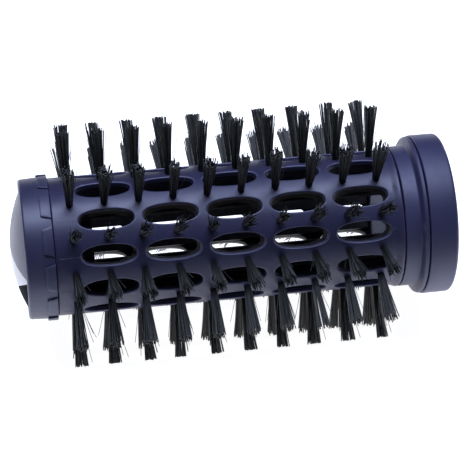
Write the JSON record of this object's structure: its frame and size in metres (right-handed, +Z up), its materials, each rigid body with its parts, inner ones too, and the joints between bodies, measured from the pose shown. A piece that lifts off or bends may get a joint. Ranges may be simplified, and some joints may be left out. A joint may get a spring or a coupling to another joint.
{
  "type": "hair roller brush head",
  "caption": "Round vented brush head for a hot-air styler: slotted barrel with rows of bristle tufts, free-turning cool tip and handle collar.",
  "frame": {"origin": "on the surface the brush rests on, below the middle of its length and width", "axes": "+X along the brush's axis from the cool tip to the handle collar, +Z up"},
  "size_m": [0.0954, 0.0516, 0.0516],
  "materials": {
    "barrel_plastic": "satin moulded, dark indigo",
    "cap_plastic": "satin moulded, dark indigo",
    "collar_plastic": "satin moulded, dark indigo",
    "dome_plastic": "smooth, lilac grey",
    "bristles": "black nylon filament",
    "hub_plastic": "light grey moulded",
    "bearing_plastic": "natural acetal",
    "clip_steel": "spring steel"
  },
  "bodies": {
    "brush": {"barrel": "barrel_plastic", "bristle_strip_01": "bristles", "bristle_strip_02": "bristles", "bristle_strip_03": "bristles", "bristle_strip_04": "bristles", "bristle_strip_05": "bristles", "bristle_strip_06": "bristles", "bristle_strip_07": "bristles", "bristle_strip_08": "bristles", "bristle_strip_09": "bristles", "bristle_strip_10": "bristles", "bristle_strip_11": "bristles", "bristle_strip_12": "bristles", "drive_hub": "hub_plastic", "tip_bearing": "bearing_plastic", "hub_clip": "clip_steel"},
    "cool_tip": {"cap_ring": "cap_plastic", "tip_dome": "dome_plastic", "tip_screw": "clip_steel", "tip_clip": "clip_steel"},
    "handle_collar": {"neck_ring": "collar_plastic", "thrust_ring": "bearing_plastic", "collar_ring": "collar_plastic"}
  },
  "joints": [
    {"name": "collar_turn", "type": "hinge", "parent": "brush", "child": "handle_collar", "pos_m": [0.04013, 0, 0.02578], "axis": [1, 0, 0], "continuous": true},
    {"name": "tip_turn", "type": "hinge", "parent": "brush", "child": "cool_tip", "pos_m": [-0.03787, 0, 0.02578], "axis": [1, 0, 0], "continuous": true}
  ]
}
